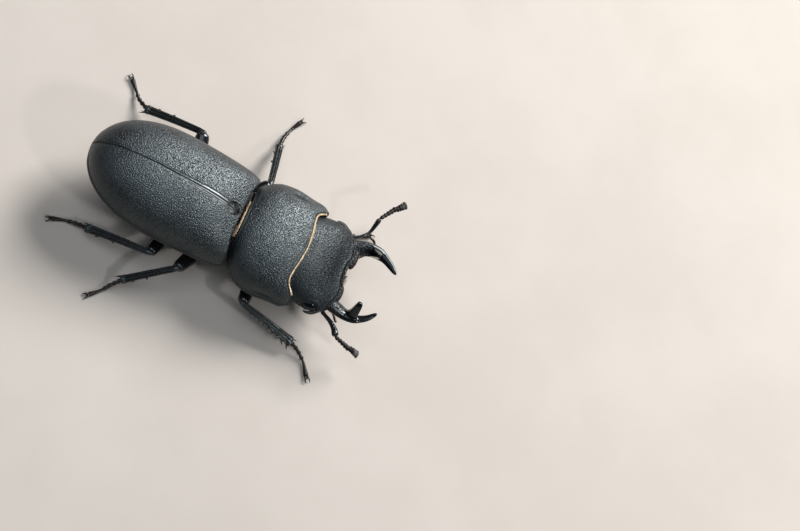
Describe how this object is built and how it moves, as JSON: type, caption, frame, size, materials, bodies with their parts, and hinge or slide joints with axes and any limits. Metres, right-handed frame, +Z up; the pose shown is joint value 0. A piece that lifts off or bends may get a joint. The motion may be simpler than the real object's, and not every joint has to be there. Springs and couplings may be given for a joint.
{
  "type": "lesser stag beetle model",
  "caption": "Life-size still model of a male lesser stag beetle standing on bent legs, its head lowered and its toothed jaws apart.",
  "frame": {"origin": "on the floor, under the middle of the beetle's bounding box", "axes": "+Z up; the head points along -Y and the tail along +Y, so the beetle's left side is +X"},
  "size_m": [0.0252, 0.0296, 0.0081],
  "materials": {
    "shell": "satin charcoal black with a faint blue tint, finely and densely pitted",
    "underside": "glossy brownish black, sparsely pitted",
    "limb": "glossy black, pitted in rows",
    "jaw": "grey-black and pitted at the root, glossy black beyond the tooth",
    "eye": "glossy black, finely faceted",
    "foot": "dark reddish brown, glossy",
    "feeler": "dark reddish brown, glossy",
    "club": "grey-brown velvet of very short hairs",
    "bristle": "fine golden-brown bristles, only in the visual model"
  },
  "bodies": {
    "root": {"elytron_left": "shell", "elytron_right": "shell", "scutellum": "shell", "abdomen": "underside", "metathorax": "underside", "mesothorax": "underside", "pronotum": "shell", "prosternum": "underside", "head": "shell", "labrum": "jaw", "mentum": "underside", "eye_left": "eye", "mandible_left": "jaw", "scape_left": "limb", "funicle_left": "feeler", "club_left": "club", "palp_left": "feeler", "eye_right": "eye", "mandible_right": "jaw", "scape_right": "limb", "funicle_right": "feeler", "club_right": "club", "palp_right": "feeler", "coxa_front_left": "limb", "femur_front_left": "limb", "tibia_front_left": "limb", "tarsus_front_left": "foot", "coxa_middle_left": "limb", "femur_middle_left": "limb", "tibia_middle_left": "limb", "tarsus_middle_left": "foot", "coxa_hind_left": "limb", "femur_hind_left": "limb", "tibia_hind_left": "limb", "tarsus_hind_left": "foot", "coxa_front_right": "limb", "femur_front_right": "limb", "tibia_front_right": "limb", "tarsus_front_right": "foot", "coxa_middle_right": "limb", "femur_middle_right": "limb", "tibia_middle_right": "limb", "tarsus_middle_right": "foot", "coxa_hind_right": "limb", "femur_hind_right": "limb", "tibia_hind_right": "limb", "tarsus_hind_right": "foot"}
  },
  "joints": []
}
